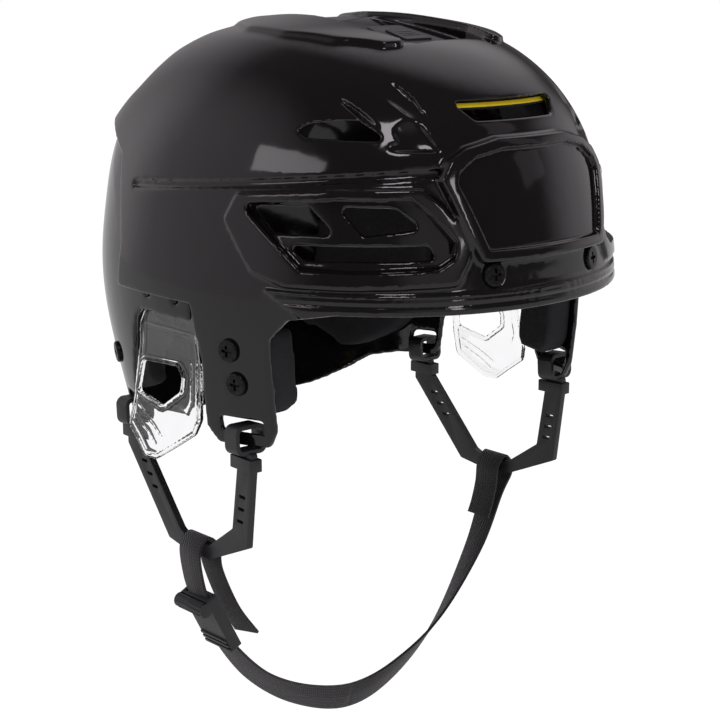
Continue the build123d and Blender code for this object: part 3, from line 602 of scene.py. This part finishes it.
# %% Grip ribs along the slider's thumb roll
roll_middle, roll_radius = Vector((-104.9, -7.0, -150.2)), 3.45
rib_radius, rib_length = 0.42 * mm, 19.0 * mm
lean = math.radians(62.7)
outward = Vector((-math.sin(lean), 0, -math.cos(lean)))
beside = Vector((math.cos(lean), 0, -math.sin(lean)))
slider_ribs = show("slider_ribs", bpy.data.meshes.new("slider_ribs"))
with opened(slider_ribs.data) as mesh:
    for degrees in (-100, -65, -30, 5, 40):
        turn = math.radians(degrees)
        away = outward * math.cos(turn) + beside * math.sin(turn)
        spot = (roll_middle + away * roll_radius) * mm
        bmesh.ops.create_cone(
            mesh,
            cap_ends=True,
            segments=10,
            radius1=rib_radius,
            radius2=rib_radius,
            depth=rib_length,
            matrix=Matrix.Translation(spot) @ Matrix.Rotation(math.pi / 2, 4, "X"),
        )
paint(slider_ribs, satin)
slider_ribs.data.shade_smooth()
print("slider_ribs faces", len(slider_ribs.data.polygons))
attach(slider_ribs, "slider")

# %% [markdown]
# ## Chin strap
# The strap goes round the near bar, through the slider, under the chin and round the far
# bar, where its end is folded and stitched. It turns about its own length on the way, so
# that it lies on its edge under the chin. Each row below is a place in millimetres, x and z
# in the plane of the strap, and the turn of its width in degrees.

# %% Route of the strap
strap_y = -7.0
strap_rows = (
    (-73.0, -172.0, 12),
    (-84.0, -155.0, 4),
    (-92.9, -134.0, 0),
    (-94.6, -122.0, 0),
    (-100.2, -116.4, 0),
    (-105.8, -122.0, 0),
    (-104.4, -136.0, 0),
    (-101.0, -147.0, 0),
    (-94.5, -159.5, 0),
    (-86.0, -175.0, -6),
    (-66.0, -198.0, -25),
    (-38.0, -216.0, -52),
    (-6.0, -226.0, -72),
    (24.0, -221.0, -64),
    (56.0, -202.0, -42),
    (84.0, -167.0, -15),
    (98.0, -138.0, 0),
    (105.0, -128.0, 0),
    (105.8, -122.0, 0),
    (100.2, -116.4, 0),
    (94.6, -122.0, 0),
    (93.4, -132.0, 0),
    (90.6, -142.0, 0),
    (87.6, -149.0, 0),
)


def between(a, b, c, d, share):
    """A smooth value between b and c, with their neighbours a and d."""
    slope_b, slope_c = (c - a) / 2, (d - b) / 2
    s, s2, s3 = share, share**2, share**3
    return (
        (2 * s3 - 3 * s2 + 1) * b
        + (s3 - 2 * s2 + s) * slope_b
        + (3 * s2 - 2 * s3) * c
        + (s3 - s2) * slope_c
    )


def strap_stations(rows, steps):
    """Places and width directions along the route, in metres."""
    last = len(rows) - 1
    line = []
    for index in range(last * steps + 1):
        row, share = min(index // steps, last - 1), index / steps
        share -= row
        four = [rows[min(max(row + shift, 0), last)] for shift in (-1, 0, 1, 2)]
        x, z, roll = (between(*(entry[column] for entry in four), share) for column in range(3))
        line.append((Vector((x, strap_y, z)) * mm, math.radians(roll)))
    stations = []
    for index, (place, roll) in enumerate(line):
        ahead = line[min(index + 1, len(line) - 1)][0] - line[max(index - 1, 0)][0]
        width = Matrix.Rotation(roll, 3, ahead.normalized()) @ Vector((0, 1, 0))
        stations.append((place, width))
    return stations


# %% [markdown]
# The ribbon starts as two edges across the strap's width. They are extruded from station to
# station, and each vertex gets its place on the UV map, across and along the strap.

# %% Weave the ribbon
strap_half = 7.5 * mm
rails = (-1, 0, 1)
stations = strap_stations(strap_rows, steps=10)
strap_mesh = bpy.data.meshes.new("chin_strap")
far_along = 0.0
with opened(strap_mesh) as ribbon:
    cloth_map = ribbon.loops.layers.uv.new("strap")
    place, width = stations[0]
    tip = [ribbon.verts.new(place + width * strap_half * side) for side in rails]
    edges = [ribbon.edges.new(pair) for pair in zip(tip, tip[1:])]
    spots = {vert: (strap_half * side, far_along) for side, vert in zip(rails, tip)}
    for (here, _), (place, width) in zip(stations, stations[1:]):
        grown = bmesh.ops.extrude_edge_only(ribbon, edges=edges)["geom"]
        fresh = [item for item in grown if isinstance(item, bmesh.types.BMVert)]
        tip = [min(fresh, key=lambda vert: (vert.co - old.co).length) for old in tip]
        edges = [
            item
            for item in grown
            if isinstance(item, bmesh.types.BMEdge) and all(vert in tip for vert in item.verts)
        ]
        far_along += (place - here).length
        for side, vert in zip(rails, tip):
            vert.co = place + width * strap_half * side
            spots[vert] = (strap_half * side, far_along)
    for face in ribbon.faces:
        for loop in face.loops:
            loop[cloth_map].uv = spots[loop.vert]
    bmesh.ops.recalc_face_normals(ribbon, faces=ribbon.faces)
print("strap length", round(far_along, 3), "m")

# %% [markdown]
# The strap is cut in two under the chin. Solidify gives the cloth its thickness, and a small
# bevel rounds its edges.

# %% Cut it in two
strap_middle = Vector((-6.0, strap_y, -226.0)) * mm
sides = (("right", -1), ("left", 1))
straps = []
for side, sign in sides:
    half = show("chin_strap_" + side, strap_mesh.copy())
    with opened(half.data) as mesh:
        bmesh.ops.bisect_plane(
            mesh,
            geom=mesh.verts[:] + mesh.edges[:] + mesh.faces[:],
            plane_co=strap_middle,
            plane_no=(-sign, 0, 0),
            clear_outer=True,
        )
    modify(half, "SOLIDIFY", thickness=1.3 * mm, offset=0, use_even_offset=True)
    modify(
        half,
        "BEVEL",
        width=0.4 * mm,
        segments=2,
        limit_method="ANGLE",
        angle_limit=math.radians(50),
    )
    settle(half)
    paint(half, webbing)
    print(half.name, "faces", len(half.data.polygons))
    straps.append(half)
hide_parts("chin_strap")
for half, (side, sign) in zip(straps, sides):
    "sling_" + side
    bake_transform(half)

# %% [markdown]
# ## Studio
# The picture was taken against white, with soft boxes that leave long highlights on the
# gloss. The floor lies under the strap. Camera and clear rays see a white backdrop, and
# mirror rays a pale floor under a dark ceiling with soft lights. All other rays get a
# plain level, so that each colour renders about as it is written. A ray through clear
# plastic counts as a mirror ray too, so clear rays are taken out of the mirror's share.

# %% Floor
floor_gap, floor_half = 0.012, 6.0
white_share, white_strength = 0.9, 1.1
pale_share, pale_strength = 0.85, 0.65
floor_level = cad_box[0][2] - floor_gap
floor = show("floor", bpy.data.meshes.new("floor"))
with opened(floor.data) as mesh:
    bmesh.ops.create_grid(mesh, x_segments=1, y_segments=1, size=floor_half)
    bmesh.ops.translate(mesh, vec=(0, 0, floor_level), verts=mesh.verts)
paper = Finish("paper", Roughness=0.9)
tooth = paper.noise(30.0, 3.0, 0.5)
paper.wear(Base_Color=paper.blend(tooth, (0.9, 0.9, 0.9, 1), (0.93, 0.93, 0.93, 1)))
surface = Wire(paper, paper.shader.outputs[0])
looked = paper.ray("Camera") + paper.ray("Transmission")
glanced = paper.ray("Glossy") * (1.0 - looked)
for share, strength in (
    (looked * white_share, white_strength),
    (glanced * pale_share, pale_strength),
):
    light = {"Color": (1, 1, 1, 1), "Strength": strength}
    shine = paper.add("ShaderNodeEmission", None, light)
    surface = paper.add("ShaderNodeMixShader", None, {0: share, 1: surface, 2: shine})
paper.feed(paper.nodes["Material Output"].inputs["Surface"], surface)
paint(floor, paper)
print("floor at", round(floor_level, 4), "m")

# %% World
soft_tone = (1.0, 0.94, 0.985)
ceiling_level, plain_level = 0.09, 0.7
world = bpy.data.worlds.new("studio")
bpy.context.scene.world = world
sky = Tree(world)


def glow(towards, width, edge, strength):
    """A round soft light in the sky: its direction, its width and edge in degrees."""
    facing = sky.add(
        "ShaderNodeVectorMath",
        {"operation": "DOT_PRODUCT"},
        {0: sky.add("ShaderNodeTexCoord", output="Generated"), 1: Vector(towards).normalized()},
        output="Value",
    )
    sockets = {
        "Value": facing,
        "From Min": math.cos(math.radians(width + edge)),
        "From Max": math.cos(math.radians(width)),
    }
    return sky.add("ShaderNodeMapRange", {"interpolation_type": "SMOOTHSTEP"}, sockets) * strength


level = ceiling_level
for towards, width, edge, strength in (
    ((-0.75, 0.65, 0.08), 22, 34, 0.5),
    ((0.1, 0.95, 0.2), 14, 26, 0.42),
    ((0.6, 0.3, 0.75), 8, 26, 0.8),
    ((0.95, -0.2, 0.05), 8, 28, 0.7),
    ((-0.3, -0.9, 0.15), 5, 20, 0.3),
):
    level = glow(towards, width, edge, strength) + level
mirrored = sky.ray("Glossy")
level = level * mirrored + (1.0 - mirrored) * plain_level
looked = sky.ray("Camera") + sky.ray("Transmission")
background = sky.nodes["Background"]
sky.feed(background.inputs["Strength"], level * (1.0 - looked) + looked)
sky.feed(background.inputs["Color"], sky.blend(looked, (*soft_tone, 1), (1, 1, 1, 1)))
print("world nodes", len(sky.nodes))

# %% Soft boxes: name, place, width and height in metres, and watts
helmet_middle = Vector((0.0, 0.0, 0.02))
for name, place, width, height, power in (
    ("left_box", (-1.3, 0.12, 0.75), 0.8, 0.28, 1.7),
    ("front_box", (0.9, -1.0, 0.9), 0.4, 0.9, 0.3),
    ("blade_box", (-0.53, -0.7, 1.1), 0.34, 0.34, 2.6),
    ("edge_box", (-0.2, -1.5, 0.5), 0.12, 0.5, 1.2),
):
    lamp = bpy.data.lights.new(name, "AREA")
    lamp.shape = "RECTANGLE"
    lamp.size, lamp.size_y, lamp.energy = width, height, power
    lamp.color = soft_tone
    holder = show(name, lamp)
    holder.location = place
    holder.rotation_euler = (helmet_middle - Vector(place)).to_track_quat("-Z", "Y").to_euler()
    print(name, power, "W")

# %% Camera
camera_data = bpy.data.cameras.new("camera")
camera_data.sensor_width = 36.0
camera_data.lens = 87.09
camera = show("camera", camera_data)
azimuth, elevation = math.radians(-42.0), math.radians(13.595)
back = Vector(
    (
        math.sin(azimuth) * math.cos(elevation),
        -math.cos(azimuth) * math.cos(elevation),
        math.sin(elevation),
    )
)
camera.location = Vector((-563.27, -633.82, 155.53)) * mm
camera.rotation_euler = (-back).to_track_quat("-Z", "Y").to_euler()
bpy.context.scene.camera = camera
bpy.context.scene.view_settings.view_transform = "Standard"
